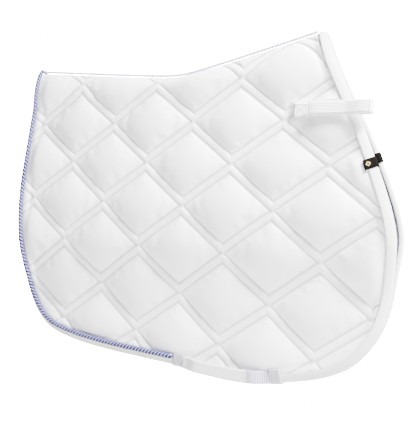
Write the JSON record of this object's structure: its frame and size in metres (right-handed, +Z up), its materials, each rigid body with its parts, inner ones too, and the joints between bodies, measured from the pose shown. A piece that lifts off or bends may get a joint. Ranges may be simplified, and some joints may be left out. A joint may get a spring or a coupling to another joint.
{
  "type": "saddle pad",
  "caption": "White diamond-quilted saddle pad folded over its spine, with bound edges, twisted rope piping, girth loops, hook-and-loop billet straps and dark woven badges.",
  "frame": {"origin": "underside of the spine strip at its lowest point, where a rack rail carries the pad", "axes": "+X along the spine towards the withers, +Y towards the near panel, +Z up"},
  "size_m": [0.7014, 0.0801, 0.5464],
  "materials": {
    "outer_fabric": "smooth white satin-weave cloth with a soft sheen, quilted in diamonds",
    "wadding": "matt white polyester wadding",
    "lining": "matt white brushed cotton twill",
    "binding": "white twill edge tape, slightly cream, stitched along its inner edge",
    "rope": "twisted cord of blue-violet and white strands",
    "webbing": "white ribbed polyester webbing",
    "elastic": "white ribbed elastic",
    "badge": "dark brown woven badge with a plain light motif",
    "loop_tape": "white loop pile tape",
    "hook_tape": "white hook tape"
  },
  "bodies": {
    "spine": {"spine_outer_fabric": "outer_fabric", "spine_wadding": "wadding", "spine_lining": "lining", "spine_front_binding": "binding", "spine_rear_binding": "binding", "spine_rope_piping": "rope", "off_corner_rope": "rope", "near_corner_rope": "rope"},
    "off_panel": {"off_outer_fabric": "outer_fabric", "off_wadding": "wadding", "off_lining": "lining", "off_rear_binding": "binding", "off_front_binding": "binding", "off_rope_piping": "rope", "off_badge": "badge", "off_girth_rear_tab": "webbing", "off_girth_front_tab": "webbing", "off_girth_webbing": "webbing", "off_girth_elastic": "elastic", "off_strap_anchor": "webbing"},
    "off_billet_base": {"off_strap_base": "webbing", "off_loop_tape": "loop_tape"},
    "off_billet_flap": {"off_strap_flap": "webbing", "off_hook_tape": "hook_tape"},
    "near_panel": {"near_outer_fabric": "outer_fabric", "near_wadding": "wadding", "near_lining": "lining", "near_rear_binding": "binding", "near_front_binding": "binding", "near_rope_piping": "rope", "near_badge": "badge", "near_girth_rear_tab": "webbing", "near_girth_front_tab": "webbing", "near_girth_webbing": "webbing", "near_girth_elastic": "elastic", "near_strap_anchor": "webbing"},
    "near_billet_base": {"near_strap_base": "webbing", "near_loop_tape": "loop_tape"},
    "near_billet_flap": {"near_strap_flap": "webbing", "near_hook_tape": "hook_tape"}
  },
  "joints": [
    {"name": "off_panel_fold", "type": "hinge", "parent": "spine", "child": "off_panel", "pos_m": [0, -0.0232, -0.012], "axis": [-1, 0, 0], "range_deg": [0, 85]},
    {"name": "off_strap_swing", "type": "hinge", "parent": "off_panel", "child": "off_billet_base", "pos_m": [0.23315, -0.02114, -0.07584], "axis": [0, -0.0648, -0.9979], "range_deg": [0, 90]},
    {"name": "off_flap_peel", "type": "hinge", "parent": "off_billet_base", "child": "off_billet_flap", "pos_m": [0.33085, -0.0377, -0.07476], "axis": [0, 0.0648, 0.9979], "range_deg": [0, 150]},
    {"name": "near_panel_fold", "type": "hinge", "parent": "spine", "child": "near_panel", "pos_m": [0, 0.0232, -0.012], "axis": [1, 0, 0], "range_deg": [0, 85]},
    {"name": "near_strap_swing", "type": "hinge", "parent": "near_panel", "child": "near_billet_base", "pos_m": [0.23113, 0.02155, -0.08222], "axis": [0.5736, -0.053, 0.8174], "range_deg": [0, 90]},
    {"name": "near_flap_peel", "type": "hinge", "parent": "near_billet_base", "child": "near_billet_flap", "pos_m": [0.31117, 0.04175, -0.13707], "axis": [-0.5736, 0.053, -0.8174], "range_deg": [0, 150]}
  ]
}
